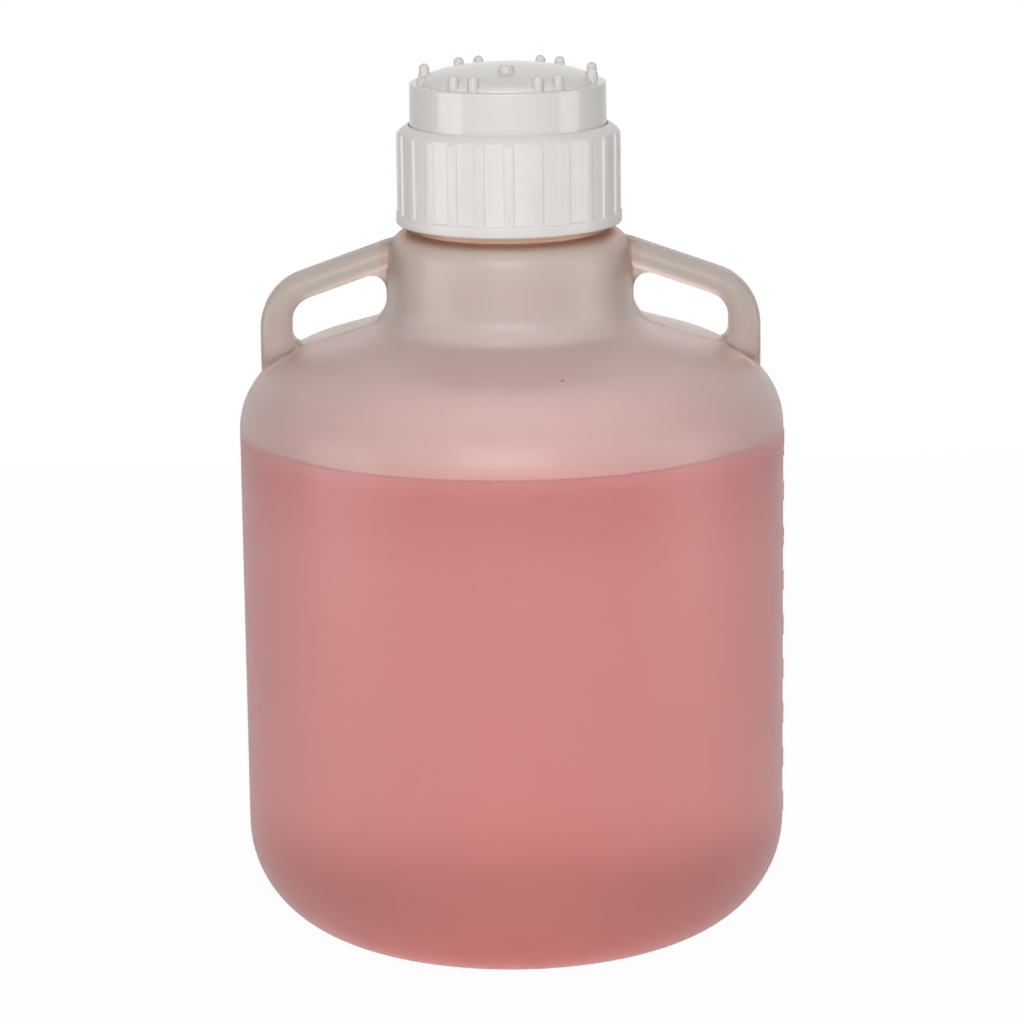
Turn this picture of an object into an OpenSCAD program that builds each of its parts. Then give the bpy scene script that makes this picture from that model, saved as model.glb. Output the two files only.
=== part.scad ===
// Ten-litre laboratory bottle with moulded carrying handles and a two-piece screw closure.
// Millimetres, +Z up, origin on the bottle's axis at the plane it stands on, handles along X.

/* [Body] */
// Outside diameter of the body
body_d = 250; // [220:1:300]
// Height at which the straight side ends and the shoulder begins
side_h = 236; // [180:1:300]
// Radius of the rounded bottom corner
heel_r = 49.5; // [30:0.5:60]
// Width of the shoulder's rounded corner, measured towards the axis
shoulder_w = 52.2; // [40:0.1:58]
// Height of the shoulder's rounded corner
shoulder_h = 41.5; // [30:0.1:55]
// Slope of the shoulder between its corner and the neck, in degrees
shoulder_slope = 17.4; // [10:0.1:25]
// Thickness of the moulded wall
wall = 2.5; // [1.5:0.1:4]
// Width of the flat ring that the bottle stands on
foot_w = 16; // [8:1:24]
// Rise of the base inside that ring
push_up = 4; // [2:0.5:8]

/* [Neck] */
// Step from the threaded finish out to the root of the neck
neck_step = 11.9; // [8:0.1:16]
// How much the neck's radius shrinks towards its top
neck_draft = 1.6; // [0:0.1:2]
// Height of the neck above its fillet
neck_h = 32; // [24:0.5:45]
// Fillet between shoulder and neck
neck_fillet = 12.5; // [6:0.5:18]
// Rounding of the neck's top corner
neck_round = 10.4; // [4:0.1:11]

/* [Threaded finish] */
// Outside diameter of the finish, without its thread
finish_d = 89; // [78:0.5:100]
// Thickness of the finish's wall
finish_wall = 3.3; // [2.4:0.1:4.5]
// Height of the finish above the neck
finish_h = 39.4; // [36:0.2:50]
// Rise of the thread in one turn
thread_pitch = 7; // [6.4:0.1:8]
// Turns of thread on the neck and in the ring
thread_turns = 3; // [1.5:0.25:3.25]
// Distance from the end of the thread to the lip
thread_lead = 2; // [1:0.5:4]
// How far the neck's thread stands out
thread_depth = 2; // [1.6:0.1:2.4]
// Width of a thread ridge at its root
ridge_root = 3; // [2.6:0.1:3.2]
// Width of a thread ridge at its crest
ridge_crest = 1.6; // [1:0.1:2]
// Axial play on the loaded side of the thread
thread_play = 0.4; // [0.3:0.1:0.8]
// Radial room between a crest and the wall that it faces
crest_gap = 0.7; // [0.5:0.1:1]

/* [Handles] */
// Inset of a handle's upright from the body's widest line
handle_inset = 10.6; // [4:0.2:20]
// Thickness of a handle's upper bar, seen from the front
bar_t = 12; // [9:0.5:15]
// Thickness of a handle's upright, seen from the front
leg_t = 14.5; // [10:0.5:17]
// Depth of a handle, seen from the side
handle_w = 20; // [18:1:30]
// Slope of a handle's upper bar, in degrees
handle_slope = 19.6; // [12:0.2:26]
// Drop of the handle's root below the neck's top
handle_drop = 5; // [3:0.5:9]
// Outer radius of a handle's elbow
elbow_r = 27; // [20:1:34]
// Thickness of the moulded web that frames a finger gap
web_t = 10; // [6:1:14]
// Height of that web above the shoulder
web_h = 1; // [0.5:0.1:2]
// Rounding of the finger gap's corner under the bar, at the neck
gap_top_r = 6.9; // [3:0.1:9]
// Rounding of the finger gap's corner at the upright's foot
gap_foot_r = 5; // [3:0.1:8]

/* [Screw ring] */
// Wall of the ring between its ribs
ring_wall = 2.4; // [1.8:0.1:3.5]
// Play between the neck's thread crests and the ring's bore
bore_gap = 1; // [0.7:0.1:1.4]
// Gap between the ring's lower edge and the neck
ring_foot_gap = 3.1; // [1:0.1:4]
// Height of the ring's shoulder at its opening
ring_top_t = 4.9; // [4.4:0.1:7]
// Drop of the shoulder's slope from the opening to the wall
ring_slope_drop = 3.5; // [2:0.1:4]
// Height of the plain band at the ring's lower edge
band_h = 5.3; // [3:0.1:9]
// How far the plain band stands out from the wall
band_out = 1.6; // [1.2:0.1:3]
// Number of grip ribs
rib_count = 24; // [12:1:30]
// Width of a grip rib
rib_w = 4.5; // [2.5:0.1:5.5]
// How far a grip rib stands out from the wall
rib_out = 1; // [0.5:0.1:1.1]

/* [Closure insert] */
// Overlap of the ring's shoulder on the insert's flange
flange_grip = 2.6; // [2:0.1:4]
// Radial play between the flange and the ring's bore
flange_gap = 0.5; // [0.3:0.1:0.8]
// Thickness of the flange
flange_t = 2.5; // [1.8:0.1:3.5]
// Running gap between the insert and the ring's shoulder
shoulder_gap = 0.3; // [0.2:0.05:0.5]
// Height of the turret above the ring
turret_h = 18.4; // [12:0.2:26]
// How much the turret's radius shrinks towards its rim
turret_draft = 0.3; // [0:0.1:1]
// Wall of the insert
insert_wall = 2.2; // [1.6:0.1:3]
// Width of the flat rim around the dome
rim_w = 4.6; // [3:0.1:8]
// Height of the dome above the rim
dome_h = 8; // [4:0.1:14]
// Depth of the plug skirt inside the mouth
skirt_h = 9; // [5:0.5:12]
// Wall of the plug skirt
skirt_wall = 2.4; // [1.6:0.1:3]
// Play between the plug skirt and the mouth
skirt_gap = 0.3; // [0.2:0.05:0.6]
// Distance of the closed spigots' axes from the turret's rim
spigot_inset = 5.6; // [4:0.1:9]
// Diameter of a closed spigot
spigot_d = 4.7; // [3:0.1:6]
// Height of the spigots' tips above the rim
spigot_h = 7.3; // [5.5:0.1:10]
// Height that is left of the spigot that has been cut short
stub_h = 1.2; // [0.6:0.1:3]
// Diameter of the boss in front of the dome's centre
boss_d = 6.8; // [4:0.1:9]
// Distance of that boss from the axis
boss_y = 20; // [12:0.5:24]
// Height of the boss above the rim
boss_h = 9.8; // [9:0.1:14]
// How far the insert is turned in the ring, in degrees
insert_turn = -1.5; // [-180:0.5:180]

/* [Gasket] */
// Thickness of the gasket
gasket_t = 1.6; // [1:0.1:2.5]
// Width of the gasket outside the finish's wall
gasket_over = 1.2; // [0:0.1:2]

/* [Contents] */
// Level of the liquid above the standing plane
fill_z = 235; // [80:0.5:260]
// Gap between liquid and wall
liquid_gap = 0.2; // [0.1:0.05:0.4]

/* [Graduations] */
// Volume between two raised marks, in litres
mark_step = 1; // [1:1:2]
// Number of raised marks
mark_count = 10; // [1:1:10]
// Thickness of a mark, measured up the side
mark_t = 1.2; // [0.8:0.1:2]
// How far a mark stands out
mark_out = 0.4; // [0.2:0.05:0.8]
// Length of a mark around the side
mark_len = 26; // [10:1:50]

/* [Hidden] */
$fn = 96;

// radii
body_r = body_d / 2;
finish_r = finish_d / 2;
mouth_r = finish_r - finish_wall;
neck_r = finish_r + neck_step;
neck_top_r = neck_r - neck_draft;
neck_corner = min(neck_round, neck_step - neck_draft - 0.2);
ring_crest_r = finish_r + crest_gap;
bore_r = finish_r + thread_depth + bore_gap;
ring_r = bore_r + ring_wall;
band_r = ring_r + band_out;
flange_r = bore_r - flange_gap;
turret_r = bore_r - flange_grip;
opening_r = turret_r + shoulder_gap;
rim_r = turret_r - turret_draft;
dome_r = rim_r - rim_w;
skirt_r = mouth_r - skirt_gap;
skirt_in_r = skirt_r - skirt_wall;
spigot_ring_r = rim_r - spigot_inset;
foot_r = body_r - heel_r;
sink = 0.5;        // how deep a ridge, rib, mark or spigot is rooted in its wall

// heights of the shoulder and the neck
slope_run = cos(shoulder_slope);
slope_rise = sin(shoulder_slope);
fillet_axis_r = neck_r + neck_fillet;
function corner_end(off) = atan2(shoulder_h - off, (shoulder_w - off) * tan(shoulder_slope));
function corner_r(off) = body_r - shoulder_w + (shoulder_w - off) * cos(corner_end(off));
function corner_z(off) = side_h + (shoulder_h - off) * sin(corner_end(off));
function slope_z(off, r) = corner_z(off) + (corner_r(off) - r) * tan(shoulder_slope);
fillet_z = slope_z(0, fillet_axis_r) + neck_fillet / slope_run;
neck_z = fillet_z + neck_h;
lip_z = neck_z + finish_h;

// heights of the closure, stacked up from the lip
flange_z = lip_z + gasket_t;
flange_top_z = flange_z + flange_t;
ring_under_z = flange_top_z + shoulder_gap;
ring_top_z = ring_under_z + ring_top_t;
ring_foot_z = neck_z + ring_foot_gap;
rim_z = ring_top_z + turret_h;

// the ring's thread bears on the underside of the neck's, with play on the other side
thread_z = lip_z - thread_lead - ridge_root / 2 - thread_turns * thread_pitch;
mid_ridge = (ridge_root + ridge_crest) / 2;
ring_thread_z = thread_z - mid_ridge - thread_play;

function arc(cx, cz, rx, rz, from, to, n) =
    [for (i = [0:n]) let(a = from + (to - from) * i / n) [cx + rx * cos(a), cz + rz * sin(a)]];

// the body's outline from the base's centre to the end of its heel, moved inwards by off
function base_line(off) = concat(
    [[0, push_up + off], [foot_r - foot_w - push_up, push_up + off], [foot_r - foot_w, off]],
    arc(foot_r, heel_r, heel_r - off, heel_r - off, -90, 0, 12)
);

// its outline around the shoulder's corner, from the top of the straight side
function shoulder_line(off) =
    arc(body_r - shoulder_w, side_h, shoulder_w - off, shoulder_h - off, 0, corner_end(off), 12);

// and from the foot of the neck's fillet to the neck's top
function neck_line(off) = concat(
    arc(fillet_axis_r, fillet_z, neck_fillet + off, neck_fillet + off, 270 - shoulder_slope, 180, 8),
    arc(neck_top_r - neck_corner, neck_z - neck_corner, neck_corner - off, neck_corner - off, 0, 90, 8)
);

function backwards(points) = [for (k = [len(points) - 1:-1:0]) points[k]];

// a polygon's corners rounded, each by its own radius
function unit(v) = v / norm(v);
function rounded(pts, radii, n) = [for (k = [0:len(pts) - 1])
    let(p = pts[k],
        a = unit(pts[(k + len(pts) - 1) % len(pts)] - p),
        b = unit(pts[(k + 1) % len(pts)] - p),
        half = acos(a * b) / 2,
        c = p + unit(a + b) * radii[k] / sin(half),
        u = unit(p + a * radii[k] / tan(half) - c),
        v = unit(p + b * radii[k] / tan(half) - c),
        sweep = acos(u * v),
        w = unit(v - u * (u * v)))
    for (i = [0:n]) c + radii[k] * (u * cos(sweep * i / n) + w * sin(sweep * i / n))];

// a helical ridge from wall radius rw to crest radius rc, faded in and out at its ends
module ridge(rw, rc, z, turns) {
    per_turn = 40;
    steps = per_turn * turns;
    fade = 4;
    end_height = 0.25;
    dir = sign(rc - rw);
    height = abs(rc - rw);
    function grow(i) = max(end_height, min(1, i / fade, (steps - i) / fade));
    function section(i) =
        let(a = 360 * i / per_turn, zc = z + thread_pitch * i / per_turn, root = rw - dir * sink,
            crest = rw + dir * height * grow(i), hr = ridge_root / 2, hc = ridge_crest / 2)
        [for (q = [[root, -hr], [crest, -hc], [crest, hc], [root, hr]])
            [q[0] * cos(a), q[0] * sin(a), zc + q[1]]];
    points = [for (i = [0:steps]) each section(i)];
    sides = [for (i = [0:steps - 1], k = [0:3])
        let(a = 4 * i + k, b = 4 * i + (k + 1) % 4) [a, b, b + 4, a + 4]];
    last = 4 * steps;
    faces = concat(sides, [[3, 2, 1, 0]], [[last, last + 1, last + 2, last + 3]]);
    turned = [for (f = faces) [for (k = [len(f) - 1:-1:0]) f[k]]];
    polyhedron(points = points, faces = dir > 0 ? faces : turned);
}

// height at which the bottle holds a stated volume: a straight cylinder's level, raised by
// what the rounded heel and the pushed-up base take away
function level(litres) =
    let(r = body_r - wall, c = heel_r - wall,
        heel = 2 * PI * ((r - c) * (1 - PI / 4) * c * c + pow(c, 3) / 6),
        base = PI * pow(foot_r - foot_w, 2) * push_up)
    wall + (litres * 1e6 + heel + base) / (PI * r * r);

module bottle_outside() {
    rotate_extrude() polygon(concat(base_line(0), shoulder_line(0), neck_line(0),
        [[finish_r, neck_z], [finish_r, lip_z], [0, lip_z]]));
}

module mark(litres) {
    span = mark_len / body_r * 180 / PI;
    translate([0, 0, level(litres) - mark_t / 2])
        rotate([0, 0, -span / 2])
            rotate_extrude(angle = span)
                translate([body_r - sink, 0]) square([sink + mark_out, mark_t]);
}

// the shell is one moulding, in four solids: its body up to the top of the straight side, its
// shoulder up to the neck's fillet, its neck, and its threaded mouth
shell_colour = [0.88, 0.80, 0.78, 0.6];

module bottle_body() {
    color(shell_colour) {
        rotate_extrude() polygon(concat(base_line(0), [[body_r, side_h], [body_r - wall, side_h]],
            backwards(base_line(wall))));
        for (k = [1:mark_count])
            if (level(k * mark_step) > heel_r && level(k * mark_step) < side_h) mark(k * mark_step);
    }
}

module bottle_shoulder() {
    color(shell_colour)
        rotate_extrude() polygon(concat(shoulder_line(0), [neck_line(0)[0], neck_line(wall)[0]],
            backwards(shoulder_line(wall))));
}

module bottle_neck() {
    color(shell_colour)
        rotate_extrude() polygon(concat(neck_line(0), [[finish_r, neck_z], [mouth_r, neck_z],
            [mouth_r, neck_z - wall]], backwards(neck_line(wall))));
}

module threaded_mouth() {
    color(shell_colour) {
        rotate_extrude() translate([mouth_r, neck_z]) square([finish_wall, finish_h]);
        ridge(finish_r, finish_r + thread_depth, thread_z, thread_turns);
    }
}

// a handle's lines in the front view
handle_x = body_r - handle_inset;
elbow_x = handle_x - elbow_r;
leg_x = handle_x - leg_t;
bar_normal = [sin(handle_slope), cos(handle_slope)];
function bar_top(x) = neck_z - handle_drop - (x - neck_r) * tan(handle_slope);
function bar_under(x) = bar_top(x) - bar_t / cos(handle_slope);
elbow_z = bar_top(elbow_x) - elbow_r / cos(handle_slope);

// stations along a handle: a point of its outer line, the line's normal, and the thickness there
elbow_steps = 9;
root_x = neck_r - 4;
handle_stations = concat(
    [[[root_x, bar_top(root_x)], bar_normal, bar_t]],
    [for (i = [0:elbow_steps])
        let(a = (90 - handle_slope) * (1 - i / elbow_steps), n = [cos(a), sin(a)])
        [[elbow_x, elbow_z] + elbow_r * n, n, bar_t + (leg_t - bar_t) * i / elbow_steps]],
    [[[handle_x, side_h], [1, 0], leg_t]]
);

// a flat-sided band with fully rounded edges, t thick and w deep
function band(t, w, n) = [for (s = [1, -1], i = [0:n])
    let(a = s * (90 - 180 * i / n)) [t / 2 * sin(a), s * (w - t) / 2 + t / 2 * s * cos(a)]];

module handle_bar() {
    side_steps = 8;
    m = 2 * (side_steps + 1);
    points = [for (s = handle_stations) each
        let(c = s[0] - s[1] * s[2] / 2)
        [for (q = band(s[2], handle_w, side_steps)) [c[0] + s[1][0] * q[0], -q[1], c[1] + s[1][1] * q[0]]]];
    last = len(handle_stations) - 1;
    sides = [for (i = [0:last - 1], k = [0:m - 1])
        let(a = m * i + k, b = m * i + (k + 1) % m) [a, a + m, b + m, b]];
    polyhedron(points = points, faces = concat(sides, [[for (k = [0:m - 1]) k]],
        [[for (k = [m - 1:-1:0]) m * last + k]]));
}

// the web between neck, bar, upright and shoulder, with the finger gap left open; the gap's
// corners are never rounder than its height at the neck or at the upright allows
module web() {
    ridge_z = slope_z(0, leg_x) + web_h;
    root_z = slope_z(0, neck_r) + web_h;
    neck_side = bar_under(neck_r) - root_z;
    leg_side = bar_under(leg_x) - ridge_z;
    radii = [min(gap_top_r, 0.31 * neck_side), min(neck_fillet, 0.56 * neck_side),
        min(gap_foot_r, 0.25 * leg_side), min(elbow_r - leg_t, 0.61 * leg_side)];
    mid_x = leg_x + leg_t / 2;
    inner = bar_t / 3;
    rotate([90, 0, 0]) linear_extrude(height = web_t, center = true) difference() {
        polygon([[0, side_h], [mid_x, side_h], [mid_x, elbow_z], [elbow_x, bar_under(elbow_x) + inner],
            [neck_r, bar_under(neck_r) + inner], [0, bar_under(neck_r) + inner]]);
        polygon(rounded([[neck_r, bar_under(neck_r)], [neck_r, root_z], [leg_x, ridge_z],
            [leg_x, bar_under(leg_x)]], radii, 6));
    }
}

module handle() {
    difference() {
        union() {
            handle_bar();
            web();
        }
        bottle_outside();
    }
}

module right_handle() {
    color([0.77, 0.73, 0.70]) handle();
}

module left_handle() {
    color([0.77, 0.73, 0.70]) mirror([1, 0, 0]) handle();
}

module liquid() {
    off = wall + liquid_gap;
    color([0.82, 0.42, 0.42])
    intersection() {
        rotate_extrude() polygon(concat(base_line(off), shoulder_line(off), neck_line(off),
            [[0, neck_z - off]]));
        cylinder(r = body_r, h = fill_z);
    }
}

// where the ring's wall ends below its sloping shoulder, and where its plain band ends
wall_top_z = ring_top_z - ring_slope_drop;
band_top_z = ring_foot_z + band_h;

// a grip rib, rooted in the wall and the band, with a sloping top
module rib() {
    rib_slope = 1.2;
    rotate([90, 0, 0]) linear_extrude(height = rib_w, center = true) polygon([
        [ring_r - sink, band_top_z - sink], [ring_r + rib_out, band_top_z - sink],
        [ring_r + rib_out, wall_top_z - rib_slope], [ring_r, wall_top_z], [ring_r - sink, wall_top_z]]);
}

module screw_ring() {
    foot_edge = 0.6;
    band_edge = 0.4;
    top_edge = 0.3;
    color([0.93, 0.92, 0.91]) {
        rotate_extrude() polygon([[bore_r, ring_foot_z], [band_r - foot_edge, ring_foot_z],
            [band_r, ring_foot_z + foot_edge], [band_r, band_top_z - band_edge],
            [band_r - band_edge, band_top_z], [ring_r, band_top_z], [ring_r, wall_top_z],
            [opening_r + top_edge, ring_top_z], [opening_r, ring_top_z - top_edge],
            [opening_r, ring_under_z], [bore_r, ring_under_z]]);
        for (i = [0:rib_count - 1]) rotate([0, 0, 90 + i * 360 / rib_count]) rib();
        ridge(bore_r, ring_crest_r, ring_thread_z, thread_turns);
    }
}

// angles of the closed spigots, and of the one that has been cut short
spigot_at = [12.5, 53.5, 68.5, 111.5, 126.5, 167.5, 233.5, 248.5, 291.5, 306.5, 347.5];
stub_at = 192.5;

function dome_z(r) = rim_z + dome_h * sqrt(max(0, 1 - pow(r / dome_r, 2)));

// an upright pin from a little below the dome, at radius r from the axis, up to height top
module pin(r, pin_r, top) {
    root = dome_z(r + pin_r) - sink;
    translate([r, 0, root]) cylinder(r = pin_r, h = top - root);
}

module closure_insert() {
    spigot_r = spigot_d / 2;
    ball_z = rim_z + spigot_h - spigot_r;
    rim_round = 0.8;
    tip_w = 0.6;
    tip_h = 1.2;
    skirt_z = lip_z - skirt_h;
    color([0.85, 0.83, 0.81]) {
        rotate_extrude() polygon(concat(
            [[skirt_in_r, skirt_z], [skirt_r - tip_w, skirt_z], [skirt_r, skirt_z + tip_h],
             [skirt_r, flange_z], [flange_r, flange_z], [flange_r, flange_top_z], [turret_r, flange_top_z]],
            arc(rim_r - rim_round, rim_z - rim_round, rim_round, rim_round, 0, 90, 4),
            arc(0, rim_z, dome_r, dome_h, 0, 90, 16),
            arc(0, rim_z - insert_wall, dome_r - insert_wall, dome_h, 90, 0, 12),
            [[rim_r - insert_wall, rim_z - insert_wall], [turret_r - insert_wall, flange_top_z],
             [skirt_in_r, flange_z]]));
        rotate([0, 0, insert_turn]) {
            for (a = spigot_at) rotate([0, 0, a]) {
                pin(spigot_ring_r, spigot_r, ball_z);
                translate([spigot_ring_r, 0, ball_z]) sphere(r = spigot_r);
            }
            rotate([0, 0, stub_at]) pin(spigot_ring_r, spigot_r, dome_z(spigot_ring_r) + stub_h);
            rotate([0, 0, -90]) pin(boss_y, boss_d / 2, rim_z + boss_h);
        }
    }
}

module gasket() {
    color([0.80, 0.80, 0.80])
    translate([0, 0, lip_z]) difference() {
        cylinder(r = finish_r + gasket_over, h = gasket_t);
        translate([0, 0, -1]) cylinder(r = skirt_r, h = gasket_t + 2);
    }
}

bottle_body();
bottle_shoulder();
bottle_neck();
threaded_mouth();
left_handle();
right_handle();
liquid();
screw_ring();
closure_insert();
gasket();
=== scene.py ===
import math
import bpy
from mathutils import Matrix, Vector


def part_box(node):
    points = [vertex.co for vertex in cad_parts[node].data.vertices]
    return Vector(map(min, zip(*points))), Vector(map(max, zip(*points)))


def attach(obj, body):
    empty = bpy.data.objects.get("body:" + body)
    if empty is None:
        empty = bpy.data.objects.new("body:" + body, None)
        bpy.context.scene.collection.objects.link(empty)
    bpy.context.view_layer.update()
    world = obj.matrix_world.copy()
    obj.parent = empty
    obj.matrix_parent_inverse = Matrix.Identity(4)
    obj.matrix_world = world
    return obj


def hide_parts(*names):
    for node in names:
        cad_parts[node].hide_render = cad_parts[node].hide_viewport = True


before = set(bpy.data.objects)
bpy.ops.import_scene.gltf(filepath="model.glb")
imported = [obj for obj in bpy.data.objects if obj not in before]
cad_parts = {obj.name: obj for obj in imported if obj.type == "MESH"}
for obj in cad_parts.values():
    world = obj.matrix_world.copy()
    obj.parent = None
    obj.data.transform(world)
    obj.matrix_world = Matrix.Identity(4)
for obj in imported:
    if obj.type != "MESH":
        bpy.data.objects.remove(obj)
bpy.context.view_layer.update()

bpy.context.scene.view_settings.view_transform = "Standard"


def asVectors(corners):
    return [Vector(corner) for corner in corners]


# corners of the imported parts, which the sizes below are worked out from
bodyLow, bodyHigh = asVectors(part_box("bottle_body"))
mouthHigh = asVectors(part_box("threaded_mouth"))[1]
liquidHigh = asVectors(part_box("liquid"))[1]
handleLow, handleHigh = asVectors(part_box("right_handle"))
ringLow, ringHigh = asVectors(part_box("screw_ring"))
insertLow, insertHigh = asVectors(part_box("closure_insert"))
sealLow, sealHigh = asVectors(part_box("gasket"))
print("frame read")


# ways of working that every piece uses, and how near two points of a mesh count as one

weldDistance = 0.000002


def clearSelection():
    if bpy.context.mode != "OBJECT":
        bpy.ops.object.mode_set(mode="OBJECT")
    bpy.ops.object.select_all(action="DESELECT")


def pick(piece):
    clearSelection()
    piece.select_set(True)
    bpy.context.view_layer.objects.active = piece


def editAll(piece):
    pick(piece)
    bpy.ops.object.mode_set(mode="EDIT")
    bpy.ops.mesh.select_all(action="SELECT")


def leaveEdit():
    bpy.ops.object.mode_set(mode="OBJECT")


def applyPlace(piece):
    pick(piece)
    bpy.ops.object.transform_apply(location=True, rotation=True, scale=True)


def finishWith(piece, kind, **settings):
    pick(piece)
    modifier = piece.modifiers.new(kind.title(), kind)
    for setting, value in settings.items():
        setattr(modifier, setting, value)
    bpy.ops.object.modifier_apply(modifier=modifier.name)


def roundEdges(piece, width, segments, angle):
    finishWith(piece, "BEVEL", width=width, segments=segments, limit_method="ANGLE",
               angle_limit=math.radians(angle))


def makeSound(piece):
    # doubles merged, faces turned outwards
    editAll(piece)
    bpy.ops.mesh.remove_doubles(threshold=weldDistance)
    bpy.ops.mesh.normals_make_consistent(inside=False)
    leaveEdit()


def shade(piece, angle):
    pick(piece)
    bpy.ops.object.shade_smooth_by_angle(angle=math.radians(angle))


def selectVerts(piece, test):
    editAll(piece)
    bpy.ops.mesh.select_all(action="DESELECT")
    leaveEdit()
    for vert in piece.data.vertices:
        vert.select = test(vert.co)
    bpy.ops.object.mode_set(mode="EDIT")
    bpy.ops.mesh.select_mode(type="VERT")


def joinPieces(pieces, name):
    pick(pieces[0])
    for piece in pieces:
        piece.select_set(True)
    bpy.ops.object.join()
    pieces[0].name = name
    return pieces[0]


def copyPiece(piece, name):
    twin = piece.copy()
    twin.data = piece.data.copy()
    twin.name = name
    bpy.context.collection.objects.link(twin)
    return twin


def coat(piece, material):
    piece.data.materials.clear()
    piece.data.materials.append(material)


def combine(piece, other, operation):
    # faces keep the material that they had before
    finishWith(piece, "BOOLEAN", operation=operation, solver="EXACT", object=other, material_mode="TRANSFER")
    bpy.data.objects.remove(other)


def arcPoints(centre, radii, start, end, steps):
    points = []
    for step in range(steps + 1):
        angle = math.radians(start + (end - start) * step / steps)
        points.append((centre[0] + radii[0] * math.cos(angle), centre[1] + radii[1] * math.sin(angle)))
    return points


def drawOutline(name, outline):
    # a plane shrunk to one point, drawn out along the outline in the XZ plane
    clearSelection()
    bpy.ops.mesh.primitive_plane_add(size=0.001)
    piece = bpy.context.object
    piece.name = name
    editAll(piece)
    bpy.ops.mesh.merge(type="CENTER")
    bpy.ops.transform.translate(value=(outline[0][0], 0, outline[0][1]))
    for here, there in zip(outline, outline[1:]):
        step = (there[0] - here[0], 0, there[1] - here[1])
        bpy.ops.mesh.extrude_region_move(TRANSFORM_OT_translate={"value": step})
    leaveEdit()
    return piece


def lathe(name, outline, steps=160):
    piece = drawOutline(name, outline)
    editAll(piece)
    bpy.ops.mesh.spin(steps=steps, angle=2 * math.pi, center=(0, 0, 0), axis=(0, 0, 1))
    leaveEdit()
    makeSound(piece)
    return piece


def cutPlate(name, outline, depth):
    # a closed outline in the XZ plane, filled and drawn out to both sides of it
    piece = drawOutline(name, outline + outline[:1])
    editAll(piece)
    bpy.ops.mesh.remove_doubles(threshold=weldDistance)
    bpy.ops.mesh.edge_face_add()
    bpy.ops.transform.translate(value=(0, -depth / 2, 0))
    bpy.ops.mesh.extrude_region_move(TRANSFORM_OT_translate={"value": (0, depth, 0)})
    leaveEdit()
    makeSound(piece)
    return piece


def threadRidge(name, wallRadius, crestRadius, startZ, size):
    # a small plate tapered to the ridge's section, screwed up around the axis and sunk at both ends
    outward = 1 if crestRadius > wallRadius else -1
    rootRadius = wallRadius - outward * size["sink"]
    clearSelection()
    bpy.ops.mesh.primitive_plane_add(size=1, location=((rootRadius + crestRadius) / 2, 0, startZ),
                                     rotation=(math.pi / 2, 0, 0))
    piece = bpy.context.object
    piece.name = name
    piece.scale = (abs(crestRadius - rootRadius), size["rootWidth"], 1)
    applyPlace(piece)
    closeBy = 0.0001
    selectVerts(piece, lambda place: abs(place.x - crestRadius) < closeBy)
    bpy.ops.transform.resize(value=(1, 1, size["crestWidth"] / size["rootWidth"]))
    bpy.ops.mesh.bevel(affect="VERTICES", offset=size["crestRound"], segments=2)
    bpy.ops.mesh.select_all(action="SELECT")
    bpy.ops.mesh.delete(type="ONLY_FACE")
    leaveEdit()
    stepCount = int(size["turns"] * size["stepsPerTurn"])
    finishWith(piece, "SCREW", angle=2 * math.pi * size["turns"], steps=stepCount, render_steps=stepCount,
               screw_offset=size["pitch"] * size["turns"], iterations=1)
    topZ = startZ + size["pitch"] * size["turns"]
    halfSection = size["rootWidth"] * 0.51
    sameWay = 0.99999
    for endZ, turnsDone in ((startZ, 0), (topZ, size["turns"])):
        ray = Vector((math.cos(2 * math.pi * turnsDone), math.sin(2 * math.pi * turnsDone), 0))
        selectVerts(piece, lambda place: abs(place.z - endZ) < halfSection
                    and place.normalized().xy.normalized().dot(ray.xy) > sameWay)
        bpy.ops.mesh.edge_face_add()
        shrink = (wallRadius - outward * size["sink"]) / crestRadius
        bpy.ops.transform.resize(value=(shrink, shrink, 1), center_override=(0, 0, endZ),
                                 use_proportional_edit=True, use_proportional_connected=True,
                                 proportional_edit_falloff="SMOOTH", proportional_size=size["fade"])
        leaveEdit()
    makeSound(piece)
    return piece


# finishes, with the effects that they share as node groups

heightShares = {"grain": 0.3, "wave": 0.7}
bumpDepth = 0.0004
speckColour = (0.18, 0.14, 0.12, 1)
pureWhite = (1, 1, 1, 1)
levelStep = 0.0001


def newGroup(name, inputs, outputs):
    group = bpy.data.node_groups.new(name, "ShaderNodeTree")
    for label, kind, value in inputs:
        socket = group.interface.new_socket(name=label, in_out="INPUT", socket_type=kind)
        if value is not None:
            socket.default_value = value
    for label, kind in outputs:
        group.interface.new_socket(name=label, in_out="OUTPUT", socket_type=kind)
    entry = group.nodes.new("NodeGroupInput")
    exitNode = group.nodes.new("NodeGroupOutput")
    return group, entry, exitNode


def newMaterial(name):
    material = bpy.data.materials.new(name)
    material.use_nodes = True
    return material, material.node_tree


def wire(tree, source, target):
    tree.links.new(source, target)


def setInputs(node, values):
    for label, value in values.items():
        node.inputs[label].default_value = value


def addGroup(tree, group, values):
    node = tree.nodes.new("ShaderNodeGroup")
    node.node_tree = group
    setInputs(node, values)
    return node


def mathNode(tree, operation, first, second):
    node = tree.nodes.new("ShaderNodeMath")
    node.operation = operation
    for socket, value in zip(node.inputs, (first, second)):
        if isinstance(value, (int, float)):
            socket.default_value = value
        else:
            wire(tree, value, socket)
    return node.outputs[0]


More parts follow.
